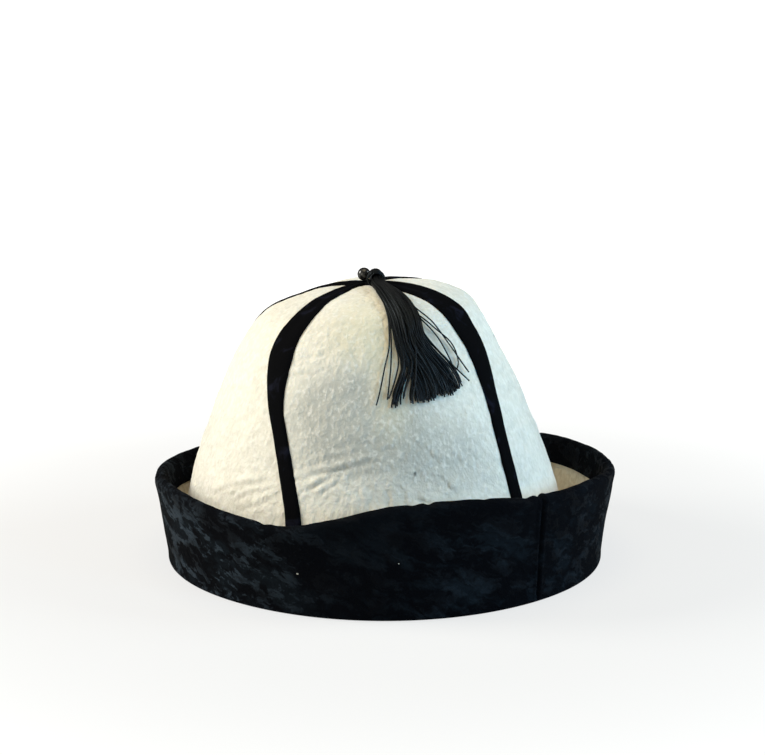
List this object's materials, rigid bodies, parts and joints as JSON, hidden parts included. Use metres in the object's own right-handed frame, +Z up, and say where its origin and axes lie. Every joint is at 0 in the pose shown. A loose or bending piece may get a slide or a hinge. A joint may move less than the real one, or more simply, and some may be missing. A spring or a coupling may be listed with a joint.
{
  "type": "felt hat with turned-up brim",
  "caption": "Domed felt hat with velvet ribbons over its seams, a bead and thread tassel at the crest, and a wide turned-up brim covered in velvet.",
  "frame": {"origin": "on the floor under the middle of the brim", "axes": "+Z up out of the crest, -Y towards the front, +X to the right of someone looking at the front"},
  "size_m": [0.2199, 0.2198, 0.1402],
  "materials": {
    "white_felt": "matt wool felt",
    "crushed_velvet": "black crushed velvet",
    "ribbon_velvet": "black velvet ribbon",
    "black_bead": "half gloss",
    "black_thread": "black rayon thread with a soft sheen"
  },
  "bodies": {
    "root": {"gore_front": "white_felt", "gore_right": "white_felt", "gore_back": "white_felt", "gore_left": "white_felt", "ribbon_front_left": "ribbon_velvet", "ribbon_front_right": "ribbon_velvet", "ribbon_back_right": "ribbon_velvet", "ribbon_back_left": "ribbon_velvet", "brim_felt": "white_felt", "brim_velvet": "crushed_velvet", "crest_bead": "black_bead", "tassel": "black_thread"}
  },
  "joints": []
}
